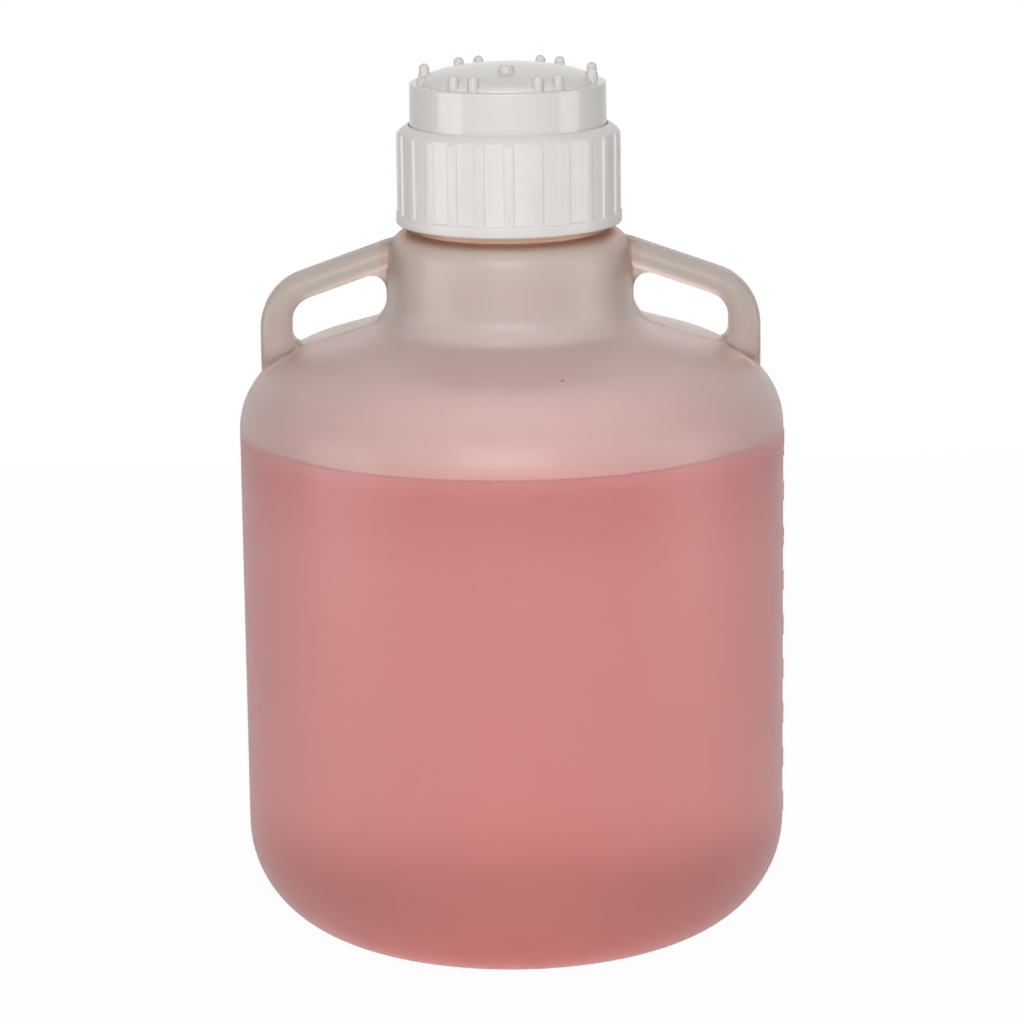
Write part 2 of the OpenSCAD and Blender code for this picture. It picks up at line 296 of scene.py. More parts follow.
def buildMouldGrain():
    # the fine unevenness of moulded plastic: a height, a roughness and a faint mottling
    group, entry, exitNode = newGroup(
        "mouldGrain",
        (("Grain Scale", "NodeSocketFloat", 900.0), ("Wave Scale", "NodeSocketFloat", 45.0),
         ("Roughness", "NodeSocketFloat", 0.4), ("Spread", "NodeSocketFloat", 0.1)),
        (("Height", "NodeSocketFloat"), ("Roughness", "NodeSocketFloat"), ("Mottle", "NodeSocketFloat")))
    place = group.nodes.new("ShaderNodeTexCoord")
    grain = group.nodes.new("ShaderNodeTexNoise")
    wave = group.nodes.new("ShaderNodeTexNoise")
    grain.inputs["Detail"].default_value = 3
    wave.inputs["Detail"].default_value = 2
    for noise, label in ((grain, "Grain Scale"), (wave, "Wave Scale")):
        wire(group, place.outputs["Object"], noise.inputs["Vector"])
        wire(group, entry.outputs[label], noise.inputs["Scale"])
    fine = mathNode(group, "MULTIPLY", grain.outputs["Fac"], heightShares["grain"])
    coarse = mathNode(group, "MULTIPLY", wave.outputs["Fac"], heightShares["wave"])
    wire(group, mathNode(group, "ADD", fine, coarse), exitNode.inputs["Height"])
    centred = mathNode(group, "SUBTRACT", wave.outputs["Fac"], 0.5)
    swing = mathNode(group, "MULTIPLY", centred, entry.outputs["Spread"])
    wire(group, mathNode(group, "ADD", entry.outputs["Roughness"], swing), exitNode.inputs["Roughness"])
    wire(group, wave.outputs["Fac"], exitNode.inputs["Mottle"])
    return group


def buildSpecks():
    # rare dark specks that are caught in the plastic
    group, entry, exitNode = newGroup(
        "straySpecks",
        (("Scale", "NodeSocketFloat", 60.0), ("Size", "NodeSocketFloat", 0.05),
         ("Share", "NodeSocketFloat", 0.1)),
        (("Mask", "NodeSocketFloat"),))
    place = group.nodes.new("ShaderNodeTexCoord")
    cells = group.nodes.new("ShaderNodeTexVoronoi")
    wire(group, place.outputs["Object"], cells.inputs["Vector"])
    wire(group, entry.outputs["Scale"], cells.inputs["Scale"])
    near = mathNode(group, "LESS_THAN", cells.outputs["Distance"], entry.outputs["Size"])
    split = group.nodes.new("ShaderNodeSeparateColor")
    wire(group, cells.outputs["Color"], split.inputs[0])
    chosen = mathNode(group, "LESS_THAN", split.outputs[0], entry.outputs["Share"])
    wire(group, mathNode(group, "MULTIPLY", near, chosen), exitNode.inputs["Mask"])
    return group


def buildHeightFade():
    # 0 below Start, 1 above End, with a soft step between them, and 0 outside Reach from the axis
    group, entry, exitNode = newGroup(
        "heightFade",
        (("Start", "NodeSocketFloat", 0.0), ("End", "NodeSocketFloat", 1.0),
         ("Reach", "NodeSocketFloat", 1.0)),
        (("Mask", "NodeSocketFloat"),))
    place = group.nodes.new("ShaderNodeTexCoord")
    height = group.nodes.new("ShaderNodeSeparateXYZ")
    step = group.nodes.new("ShaderNodeMapRange")
    step.interpolation_type = "SMOOTHSTEP"
    wire(group, place.outputs["Object"], height.inputs[0])
    wire(group, height.outputs["Z"], step.inputs["Value"])
    wire(group, entry.outputs["Start"], step.inputs["From Min"])
    wire(group, entry.outputs["End"], step.inputs["From Max"])
    flat = group.nodes.new("ShaderNodeCombineXYZ")
    wire(group, height.outputs["X"], flat.inputs["X"])
    wire(group, height.outputs["Y"], flat.inputs["Y"])
    length = group.nodes.new("ShaderNodeVectorMath")
    length.operation = "LENGTH"
    wire(group, flat.outputs[0], length.inputs[0])
    near = mathNode(group, "LESS_THAN", length.outputs["Value"], entry.outputs["Reach"])
    wire(group, mathNode(group, "MULTIPLY", step.outputs["Result"], near), exitNode.inputs["Mask"])
    return group


mouldGrain = buildMouldGrain()
straySpecks = buildSpecks()
heightFade = buildHeightFade()


def addFade(tree, start, end, reach=1.0):
    return addGroup(tree, heightFade, {"Start": start, "End": end, "Reach": reach}).outputs["Mask"]


def addTint(tree, colour, tint, mask):
    # the colour, multiplied by the tint where the mask is 1
    mix = tree.nodes.new("ShaderNodeMix")
    mix.data_type = "RGBA"
    mix.blend_type = "MULTIPLY"
    mix.inputs["B"].default_value = (*tint, 1)
    wire(tree, colour, mix.inputs["A"])
    wire(tree, mask, mix.inputs["Factor"])
    return mix.outputs["Result"]


def addAbsorption(tree, colour, density):
    absorb = tree.nodes.new("ShaderNodeVolumeAbsorption")
    setInputs(absorb, {"Color": (*colour, 1), "Density": density})
    wire(tree, absorb.outputs["Volume"], tree.nodes["Material Output"].inputs["Volume"])


def addClearShader(tree, ior, roughness):
    shader = tree.nodes.new("ShaderNodeBsdfPrincipled")
    setInputs(shader, {"Base Color": pureWhite, "Roughness": roughness, "IOR": ior, "Transmission Weight": 1})
    return shader.outputs[0]


def addMixShader(tree, mask, first, second):
    mix = tree.nodes.new("ShaderNodeMixShader")
    wire(tree, mask, mix.inputs[0])
    wire(tree, first, mix.inputs[1])
    wire(tree, second, mix.inputs[2])
    return mix.outputs[0]


def plasticMaterial(name, look):
    material, tree = newMaterial(name)
    shader = tree.nodes["Principled BSDF"]
    setInputs(shader, {"IOR": look["ior"], "Transmission Weight": look["transmission"],
                       "Coat Weight": look["coat"], "Coat Roughness": look["coatRoughness"]})
    grain = addGroup(tree, mouldGrain, {"Grain Scale": look["grainScale"], "Wave Scale": look["waveScale"],
                                        "Roughness": look["roughness"], "Spread": look["roughnessSpread"]})
    wire(tree, grain.outputs["Roughness"], shader.inputs["Roughness"])
    bump = tree.nodes.new("ShaderNodeBump")
    setInputs(bump, {"Strength": look["bump"], "Distance": bumpDepth})
    wire(tree, grain.outputs["Height"], bump.inputs["Height"])
    wire(tree, bump.outputs["Normal"], shader.inputs["Normal"])
    mottle = tree.nodes.new("ShaderNodeMix")
    mottle.data_type = "RGBA"
    setInputs(mottle, {"A": (*look["colour"], 1), "B": (*look["mottle"], 1)})
    wire(tree, grain.outputs["Mottle"], mottle.inputs["Factor"])
    specks = addGroup(tree, straySpecks, {"Scale": look["speckScale"], "Size": look["speckSize"],
                                          "Share": look["speckShare"]})
    marked = tree.nodes.new("ShaderNodeMix")
    marked.data_type = "RGBA"
    marked.inputs["B"].default_value = speckColour
    wire(tree, specks.outputs["Mask"], marked.inputs["Factor"])
    wire(tree, mottle.outputs["Result"], marked.inputs["A"])
    wire(tree, marked.outputs["Result"], shader.inputs["Base Color"])
    return material


def wallMaterial(name, look):
    # the outside is satin, the hollow's faces are clear, and where the liquid wets them they don't show
    material = plasticMaterial(name, look)
    tree = material.node_tree
    outside = tree.nodes["Principled BSDF"]
    colour = outside.inputs["Base Color"].links[0].from_socket
    # painted light and shade: the tints multiply the wall's colour by height
    for tint in look["paintedLightTints"]:
        mask = addFade(tree, tint["start"], tint["end"], tint["reach"])
        if "fallStart" in tint:
            mask = mathNode(tree, "MULTIPLY", mask, addFade(tree, tint["fallStart"], tint["fallEnd"]))
        colour = addTint(tree, colour, tint["colour"], mask)
    wire(tree, colour, outside.inputs["Base Color"])
    dry = addClearShader(tree, look["ior"], look["dryRoughness"])
    wet = addClearShader(tree, look["wetIor"], look["wetRoughness"])
    level = addFade(tree, liquidHigh.z - levelStep, liquidHigh.z)
    inside = addMixShader(tree, level, wet, dry)
    hollow = tree.nodes.new("ShaderNodeAttribute")
    hollow.attribute_name = "hollow"
    wall = addMixShader(tree, hollow.outputs["Fac"], outside.outputs[0], inside)
    wire(tree, wall, tree.nodes["Material Output"].inputs["Surface"])
    addAbsorption(tree, look["depth"], look["density"])
    return material


def solutionMaterial(name, look):
    # against the wall light passes straight on, at the open surface it is bent as water bends it
    material, tree = newMaterial(name)
    top = tree.nodes["Principled BSDF"]
    setInputs(top, {"Base Color": (*look["surface"], 1), "Roughness": look["topRoughness"],
                    "IOR": look["topIor"], "Transmission Weight": 1})
    side = tree.nodes.new("ShaderNodeBsdfTransparent")
    clear = tree.nodes.new("ShaderNodeRGB")
    clear.outputs[0].default_value = pureWhite
    below = addFade(tree, look["sideStart"], look["sideEnd"])
    # painted shade: the side faces darker and deeper pink in a band just under the level
    paintedShadeBand = mathNode(tree, "MULTIPLY", addFade(tree, look["paintedShadeStart"], look["paintedShadeEnd"]), below)
    tinted = addTint(tree, clear.outputs[0], look["side"], below)
    wire(tree, addTint(tree, tinted, look["paintedShadeBand"], paintedShadeBand), side.inputs["Color"])
    level = addFade(tree, liquidHigh.z - 2 * levelStep, liquidHigh.z - levelStep)
    surface = addMixShader(tree, level, side.outputs[0], top.outputs[0])
    wire(tree, surface, tree.nodes["Material Output"].inputs["Surface"])
    addAbsorption(tree, look["depth"], look["density"])
    return material


def dress(piece, body, material=None):
    if material:
        coat(piece, material)
    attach(piece, body)


# a tint colours the wall from start to end of its fade, within reach of the axis; each tint here is painted
# light and shade, not the plastic's own colour
looks = {
    "bottle": {"colour": (0.80, 0.78, 0.77), "mottle": (0.78, 0.76, 0.75), "roughness": 0.50,
               "roughnessSpread": 0.08, "ior": 1.30, "transmission": 0.85, "coat": 0.36,
               "coatRoughness": 0.3, "grainScale": 700, "waveScale": 40, "bump": 0.15, "speckScale": 45,
               "speckSize": 0.03, "speckShare": 0.02, "dryRoughness": 0.5, "wetIor": 1.0, "wetRoughness": 0.0,
               "depth": (0.54, 0.34, 0.22), "density": 50.0,
               # painted light: the foot deeper red towards the base, standing in for light through the liquid
               "paintedLightTints": ({"colour": (1.0, 0.52, 0.46), "start": 0.036, "end": 0.0, "reach": 1.0},
                         # painted glow: the liquid's pink carried into the wall around its level, fading out
                         # above it
                         {"colour": (0.985, 0.84, 0.84), "start": 0.247, "end": 0.231, "reach": 1.0},
                         # painted glow: a paler pink of the liquid over the body and shoulder, fading out
                         # towards the neck
                         {"colour": (1.0, 0.93, 0.92), "start": 0.300, "end": 0.265, "reach": 1.0},
                         # painted shade: the neck and the upper handles greyer and darker
                         {"colour": (0.92, 0.94, 0.93), "start": 0.268, "end": 0.290, "reach": 1.0},
                         # painted shade: a warmer, darker brown-orange on the neck
                         {"colour": (1.0, 0.88, 0.82), "start": 0.280, "end": 0.310, "reach": 0.06},
                         # painted shade: an orange glow in the shaded crevice under the ring, in a narrow
                         # band at the neck's top
                         {"colour": (1.0, 0.62, 0.45), "start": 0.3230, "end": 0.3270, "reach": 0.06,
                          "fallStart": 0.3335, "fallEnd": 0.3290})},
    "ring": {"colour": (0.775, 0.75, 0.73), "mottle": (0.745, 0.72, 0.70), "roughness": 0.36,
             "roughnessSpread": 0.08, "ior": 1.40, "transmission": 0.0, "coat": 0.0, "coatRoughness": 0.2,
             "grainScale": 900, "waveScale": 90, "bump": 0.12, "speckScale": 120, "speckSize": 0.03,
             "speckShare": 0.01},
    "insert": {"colour": (0.75, 0.72, 0.69), "mottle": (0.73, 0.70, 0.67), "roughness": 0.16,
               "roughnessSpread": 0.06, "ior": 1.40, "transmission": 0.0, "coat": 0.0, "coatRoughness": 0.2,
               "grainScale": 900, "waveScale": 90, "bump": 0.10, "speckScale": 110, "speckSize": 0.04,
               "speckShare": 0.05},
    "pin": {"colour": (0.84, 0.81, 0.79), "mottle": (0.82, 0.79, 0.77), "roughness": 0.25,
            "roughnessSpread": 0.05, "ior": 1.35, "transmission": 0.22, "coat": 0.0, "coatRoughness": 0.2,
            "grainScale": 900, "waveScale": 90, "bump": 0.05, "speckScale": 110, "speckSize": 0.04,
            "speckShare": 0.0},
    "seal": {"colour": (0.55, 0.55, 0.54), "mottle": (0.50, 0.50, 0.49), "roughness": 0.7,
             "roughnessSpread": 0.1, "ior": 1.5, "transmission": 0.0, "coat": 0.0, "coatRoughness": 0.2,
             "grainScale": 1500, "waveScale": 200, "bump": 0.2, "speckScale": 200, "speckSize": 0.02,
             "speckShare": 0.01},
    "solution": {"surface": (0.99, 0.90, 0.90), "side": (0.985, 0.94, 0.94), "sideStart": 0.235,
                 # painted shade: the second side tint darkens a band just under the liquid's level
                 "sideEnd": 0.226, "paintedShadeBand": (0.93, 0.80, 0.80), "paintedShadeStart": 0.185, "paintedShadeEnd": 0.222,
                 "depth": (0.985, 0.61, 0.625), "density": 9.4,
                 "topIor": 1.33, "topRoughness": 0.03},
}
wallPlastic = wallMaterial("bottlePlastic", looks["bottle"])
ringPlastic = plasticMaterial("ringPlastic", looks["ring"])
insertPlastic = plasticMaterial("insertPlastic", looks["insert"])
pinPlastic = plasticMaterial("pinPlastic", looks["pin"])
sealRubber = plasticMaterial("sealRubber", looks["seal"])
pinkSolution = solutionMaterial("pinkSolution", looks["solution"])
print("finishes made")

# the moulded bottle

bottle = {
    "radius": -bodyLow.y, "sideTop": bodyHigh.z, "lipZ": mouthHigh.z,
    "heelRadius": 0.0495, "footWidth": 0.016, "pushUp": 0.004, "shoulderWidth": 0.0522,
    "shoulderHeight": 0.0415, "slope": 17.4, "wall": 0.0025, "finishRadius": 0.0445,
    "finishWall": 0.0033, "neckStep": 0.0119, "neckDraft": 0.0016, "neckHeight": 0.032,
    "neckFillet": 0.0125, "neckRound": 0.0101, "lipEdge": 0.0005, "hollowReach": 0.002,
    "bigArcSteps": 20, "neckArcSteps": 12,
}
footRadius = bottle["radius"] - bottle["heelRadius"]
neckRadius = bottle["finishRadius"] + bottle["neckStep"]
neckTopRadius = neckRadius - bottle["neckDraft"]
mouthRadius = bottle["finishRadius"] - bottle["finishWall"]
slopeTan = math.tan(math.radians(bottle["slope"]))
filletAxis = neckRadius + bottle["neckFillet"]


def shoulderArc(inset):
    # the rounded corner of the shoulder, up to where the slope touches it
    span = bottle["shoulderWidth"] - inset
    rise = bottle["shoulderHeight"] - inset
    last = math.degrees(math.atan2(rise, span * slopeTan))
    centre = (bottle["radius"] - bottle["shoulderWidth"], bottle["sideTop"])
    return arcPoints(centre, (span, rise), 0, last, bottle["bigArcSteps"])


def slopeZ(radius, inset=0):
    startX, startZ = shoulderArc(inset)[-1]
    return startZ + (startX - radius) * slopeTan


filletZ = slopeZ(filletAxis) + bottle["neckFillet"] / math.cos(math.radians(bottle["slope"]))
neckZ = filletZ + bottle["neckHeight"]


def bodyOutline(inset):
    # from the middle of the base to the top of the neck, moved into the wall by inset
    heel = bottle["heelRadius"]
    innerFoot = footRadius - bottle["footWidth"]
    fillet = bottle["neckFillet"]
    corner = bottle["neckRound"]
    heelSteps = bottle["bigArcSteps"]
    neckSteps = bottle["neckArcSteps"]
    outline = [(0, bottle["pushUp"] + inset), (innerFoot - bottle["pushUp"], bottle["pushUp"] + inset),
               (innerFoot, inset)]
    outline += arcPoints((footRadius, heel), (heel - inset, heel - inset), -90, 0, heelSteps)
    outline += shoulderArc(inset)
    filletStart = 270 - bottle["slope"]
    outline += arcPoints((filletAxis, filletZ), (fillet + inset, fillet + inset), filletStart, 180, neckSteps)
    cornerMiddle = (neckTopRadius - corner, neckZ - corner)
    outline += arcPoints(cornerMiddle, (corner - inset, corner - inset), 0, 90, neckSteps)
    return outline


thread = {"pitch": 0.007, "turns": 3, "lead": 0.002, "depth": 0.002, "rootWidth": 0.003,
          "crestWidth": 0.0016, "crestRound": 0.0004, "sink": 0.0005, "stepsPerTurn": 60, "fade": 0.012}
# height of the neck thread's lower end
threadStart = bottle["lipZ"] - thread["lead"] - thread["rootWidth"] / 2 - thread["turns"] * thread["pitch"]


def buildBottle():
    # a massive bottle, which is hollowed once its handles are on it
    edge = bottle["lipEdge"]
    lip = bottle["lipZ"]
    finish = bottle["finishRadius"]
    mouth = [(finish, neckZ), (finish, lip - edge), (finish - edge, lip), (0, lip)]
    shell = lathe("bottleShell", bodyOutline(0) + mouth)
    ridge = threadRidge("neckThread", finish, finish + thread["depth"], threadStart, thread)
    combine(shell, ridge, "UNION")
    coat(shell, wallPlastic)
    return shell


def hollowOut(shell):
    # the hollow's faces are told from the outside by an attribute
    wall = bottle["wall"]
    edge = bottle["lipEdge"]
    lip = bottle["lipZ"]
    reach = bottle["hollowReach"]
    outline = bodyOutline(wall)
    wetSteps = len([point for point in outline if point[1] < bottle["sideTop"]])
    outline.insert(wetSteps, (bottle["radius"] - wall, liquidHigh.z))
    outline += [(mouthRadius, neckZ - wall), (mouthRadius, lip - edge)]
    outline += [(mouthRadius + edge + reach, lip + reach), (0, lip + reach)]
    hollow = lathe("hollowCore", outline)
    coat(hollow, bpy.data.materials.new("hollowMark"))
    combine(shell, hollow, "DIFFERENCE")
    finishes = [material.name for material in shell.data.materials]
    inside = [float(finishes[face.material_index] == "hollowMark") for face in shell.data.polygons]
    mark = shell.data.attributes.new("hollow", "FLOAT", "FACE")
    mark.data.foreach_set("value", inside)
    for face in shell.data.polygons:
        face.material_index = 0
    coat(shell, wallPlastic)
    bpy.data.materials.remove(bpy.data.materials["hollowMark"])


shell = buildBottle()
print("bottle turned:", len(shell.data.polygons), "faces")

# its two handles

handle = {"outerX": handleHigh.x, "depth": 2 * handleHigh.y, "barThick": 0.012, "legThick": 0.0145,
          "slope": 19.6, "drop": 0.005, "elbow": 0.027, "edgeRound": 0.0056, "webDepth": 0.011,
          "webHeight": 0.0011, "webRound": 0.0012, "gapTop": 0.0069, "gapFoot": 0.005,
          "skin": 0.00006, "bite": 0.0012, "reach": 0.008, "voxel": 0.0008, "softening": 6, "smoothing": 0.5,
          "rootDepth": 0.006, "slabDepth": 0.012, "elbowSteps": 14, "gapSteps": 8}


def handleLines():
    slope = math.radians(handle["slope"])
    tan = math.tan(slope)

    def top(x):
        return neckZ - handle["drop"] - (x - neckRadius) * tan

    def under(x):
        return top(x) - handle["barThick"] / math.cos(slope)

    elbowX = handle["outerX"] - handle["elbow"]
    elbowZ = top(elbowX) - handle["elbow"] / math.cos(slope)
    return top, under, elbowX, elbowZ


def roundedLoop(points, radii, steps):
    # a closed outline with an arc in place of each corner that has a radius
    loop = []
    for index, corner in enumerate(points):
        if radii[index] == 0:
            loop.append(corner)
            continue
        here = Vector(corner)
        toLast = (Vector(points[index - 1]) - here).normalized()
        toNext = (Vector(points[(index + 1) % len(points)]) - here).normalized()
        half = math.acos(toLast.dot(toNext)) / 2
        centre = here + (toLast + toNext).normalized() * radii[index] / math.sin(half)
        first = here + toLast * radii[index] / math.tan(half) - centre
        last = here + toNext * radii[index] / math.tan(half) - centre
        sweep = first.angle(last)
        turn = 1 if first.cross(last) > 0 else -1
        for step in range(steps + 1):
            spoke = Matrix.Rotation(turn * sweep * step / steps, 2) @ first
            loop.append(tuple(centre + spoke))
    return loop


def bodyCore(name, inset):
    # the body and the neck as one massive turned shape, inset from the outside
    return lathe(name, bodyOutline(inset) + [(0, neckZ - inset)])


def buildHandle():
    top, under, elbowX, elbowZ = handleLines()
    outerX = handle["outerX"]
    legX = outerX - handle["legThick"]
    midX = outerX - handle["legThick"] / 2
    rootX = neckRadius - handle["rootDepth"]
    baseZ = bottle["sideTop"]
    lap = handle["barThick"] / 3
    inner = handle["elbow"] - handle["legThick"]
    bar = cutPlate("gripBar", roundedLoop(
        [(rootX, top(rootX)), (outerX, top(outerX)), (outerX, baseZ), (legX, baseZ), (legX, under(legX)),
         (rootX, under(rootX))], [0, handle["elbow"], 0, 0, inner, 0], handle["elbowSteps"]), handle["depth"])
    roundEdges(bar, handle["edgeRound"], segments=6, angle=60)
    web = cutPlate("gripWeb", [(rootX, baseZ), (midX, baseZ), (midX, elbowZ), (elbowX, under(elbowX) + lap),
                               (rootX, under(rootX) + lap)], handle["webDepth"])
    gap = cutPlate("fingerGap", roundedLoop(
        [(neckRadius, under(neckRadius)), (neckRadius, slopeZ(neckRadius) + handle["webHeight"]),
         (legX, slopeZ(legX) + handle["webHeight"]), (legX, under(legX))],
        [handle["gapTop"], bottle["neckFillet"], handle["gapFoot"], inner], handle["gapSteps"]),
        handle["depth"] * 2)
    combine(web, gap, "DIFFERENCE")
    roundEdges(web, handle["webRound"], segments=3, angle=60)
    return bar, web


def softenOntoBody(bar, web):
    # bar and web are melted onto a slab of the body, and what lies below the wall's skin is cut away
    reach = handle["reach"]
    rootX = neckRadius - handle["slabDepth"]
    endX = handle["outerX"] + reach / 2
    baseZ = handleLow.z - 2 * reach
    slab = cutPlate("bodySlab", [(rootX, baseZ), (endX, baseZ), (endX, neckZ), (rootX, neckZ)],
                    handle["depth"] + 2 * reach)
    combine(slab, bodyCore("slabCore", handle["skin"]), "INTERSECT")
    combine(slab, web, "UNION")
    combine(slab, bar, "UNION")
    finishWith(slab, "REMESH", mode="VOXEL", voxel_size=handle["voxel"], adaptivity=0)
    finishWith(slab, "SMOOTH", factor=handle["smoothing"], iterations=handle["softening"])
    combine(slab, bodyCore("biteCore", handle["bite"]), "DIFFERENCE")
    return slab


grip = softenOntoBody(*buildHandle())
coat(grip, wallPlastic)
print("handle softened:", len(grip.data.polygons), "faces")
otherGrip = copyPiece(grip, "otherGrip")
otherGrip.rotation_euler.z = math.pi
applyPlace(otherGrip)
combine(shell, grip, "UNION")
combine(shell, otherGrip, "UNION")
hollowOut(shell)
shade(shell, angle=40)
print("handles joined:", len(shell.data.polygons), "faces")

# raised litre marks on the side

litres = {"first": 2, "last": 10, "tickLength": 0.026, "tickHeight": 0.0012, "out": 0.0004,
          "root": 0.0003, "numberSize": 0.0072, "lastSize": 0.0105, "numberTurn": -4.0,
          "fontEdge": 0.00008, "edgeShare": 0.7, "edgeSteps": 2, "tickSteps": 12}


def levelZ(volume):
    # a straight cylinder's level, raised by what the rounded heel and the pushed-up base take away
    radius = bottle["radius"] - bottle["wall"]
    corner = bottle["heelRadius"] - bottle["wall"]
    innerFoot = footRadius - bottle["footWidth"]
    heelLoss = 2 * math.pi * ((radius - corner) * (1 - math.pi / 4) * corner ** 2 + corner ** 3 / 6)
    baseLoss = math.pi * innerFoot ** 2 * bottle["pushUp"]
    return bottle["wall"] + (volume / 1000 + heelLoss + baseLoss) / (math.pi * radius ** 2)


def buildTick(name, z):
    # a small rounded section spun part of the way round the side, which turns it clockwise
    inner = bottle["radius"] - litres["root"]
    outer = bottle["radius"] + litres["out"]
    half = litres["tickHeight"] / 2
    edge = litres["out"] * litres["edgeShare"]
    section = roundedLoop([(inner, z - half), (outer, z - half), (outer, z + half), (inner, z + half)],
                          [0, edge, edge, 0], litres["edgeSteps"])
    span = litres["tickLength"] / bottle["radius"]
    tick = drawOutline(name, section + section[:1])
    tick.rotation_euler.z = span / 2
    applyPlace(tick)
    editAll(tick)
    bpy.ops.mesh.remove_doubles(threshold=weldDistance)
    bpy.ops.mesh.select_all(action="SELECT")
    bpy.ops.mesh.spin(steps=litres["tickSteps"], angle=span, center=(0, 0, 0), axis=(0, 0, 1))
    leaveEdit()
    makeSound(tick)
    editAll(tick)
    bpy.ops.mesh.select_all(action="DESELECT")
    bpy.ops.mesh.select_non_manifold()
    bpy.ops.mesh.fill_holes(sides=0)
    leaveEdit()
    makeSound(tick)
    return tick


def buildNumber(volume, z):
    clearSelection()
    bpy.ops.object.text_add()
    digits = bpy.context.object
    digits.data.body = str(volume)
    digits.data.size = litres["lastSize"] if volume == litres["last"] else litres["numberSize"]
    digits.data.align_x = "CENTER"
    digits.data.align_y = "BOTTOM"
    digits.data.extrude = (litres["out"] + litres["root"]) / 2 - litres["fontEdge"]
    digits.data.bevel_depth = litres["fontEdge"]
    bpy.ops.object.convert(target="MESH")
    digits.name = f"litreNumber{volume}"
    middle = bottle["radius"] + (litres["out"] - litres["root"]) / 2
    upright = Matrix.Rotation(math.pi / 2, 4, "Z") @ Matrix.Rotation(math.pi / 2, 4, "X")
    turned = Matrix.Rotation(math.radians(litres["numberTurn"]), 4, "Z")
    digits.matrix_world = turned @ Matrix.Translation((middle, 0, z)) @ upright
    applyPlace(digits)
    makeSound(digits)
    return digits


def buildMarks():
    pieces = []
    for volume in range(litres["first"], litres["last"] + 1):
        z = levelZ(volume)
        pieces.append(buildTick(f"litreTick{volume}", z))
        pieces.append(buildNumber(volume, z + litres["tickHeight"]))
    return joinPieces(pieces, "litreMarks")


marks = buildMarks()
shade(marks, angle=40)
dress(shell, "bottle")
dress(marks, "bottle", wallPlastic)
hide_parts("bottle_body", "bottle_shoulder", "bottle_neck", "threaded_mouth", "left_handle",
            "right_handle")
print("litre marks raised")

# what the bottle holds

liquid = {"meniscus": 0.0016, "meniscusWidth": 0.0045, "meniscusSteps": 8}


def buildLiquid():
    inset = bottle["radius"] - liquidHigh.x
    level = liquidHigh.z
    outline = [point for point in bodyOutline(inset) if point[1] < level]
    edgeX = liquidHigh.x
    rise = arcPoints((edgeX - liquid["meniscusWidth"], level + liquid["meniscus"]),
                     (liquid["meniscusWidth"], liquid["meniscus"]), 0, -90, liquid["meniscusSteps"])
    return lathe("liquidFill", outline + rise + [(0, level)])


fill = buildLiquid()
shade(fill, angle=50)
dress(fill, "bottle", pinkSolution)
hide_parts("liquid")
print("liquid poured")

# the screw ring, and the sizes that the insert shares with it

ring = {"bandRadius": ringHigh.x, "footZ": ringLow.z, "topZ": ringHigh.z, "bandOut": 0.0016,
        "bandHeight": 0.0053, "wall": 0.0024, "slopeDrop": 0.0035, "topThick": 0.0049,
        "openingGap": 0.0003, "steps": 192, "ribCount": 24,
        "ribWidth": 0.0045, "ribOut": 0.001, "ribSlope": 0.0012, "ribRound": 0.0004, "ribSink": 0.0006,
        "threadPlay": 0.0004, "crestGap": 0.0007,
        "cornerRounds": [0.0004, 0.0011, 0.0006, 0.0004, 0.0006, 0.0005, 0.0002, 0.0005], "cornerSteps": 4}
closure = {"flangeRadius": insertHigh.x, "flangeGrip": 0.0021, "flangeThick": 0.0025,
           "turretHeight": 0.0184, "draft": 0.0003, "wall": 0.0022, "rimWidth": 0.0046,
           "domeHeight": 0.008, "skirtWall": 0.0024, "skirtPlay": 0.0003, "rimRound": 0.0008,
           "tipWidth": 0.0006, "tipHeight": 0.0012,
           "spigotInset": 0.0056, "spigotRadius": 0.00235, "spigotHeight": 0.0073, "spigotFlare": 0.0004,
           "stubHeight": 0.0012, "bossRadius": 0.0034, "bossFromAxis": 0.020, "bossHeight": 0.0098,
           "stubRound": 0.2, "bossRound": 0.3, "shortPin": 0.002, "steps": 192, "pinSteps": 32,
           "headSteps": 8, "rimSteps": 6, "domeSteps": 28, "innerSteps": 20,
           "sink": 0.0006, "turn": -1.5,
           "spigotAngles": (12.5, 53.5, 68.5, 111.5, 126.5, 167.5, 233.5, 248.5, 291.5, 306.5, 347.5),
           "stubAngle": 192.5}
ringWallRadius = ring["bandRadius"] - ring["bandOut"]
boreRadius = ringWallRadius - ring["wall"]
turretRadius = closure["flangeRadius"] - closure["flangeGrip"]
bandTop = ring["footZ"] + ring["bandHeight"]
wallTop = ring["topZ"] - ring["slopeDrop"]
openingRadius = turretRadius + ring["openingGap"]


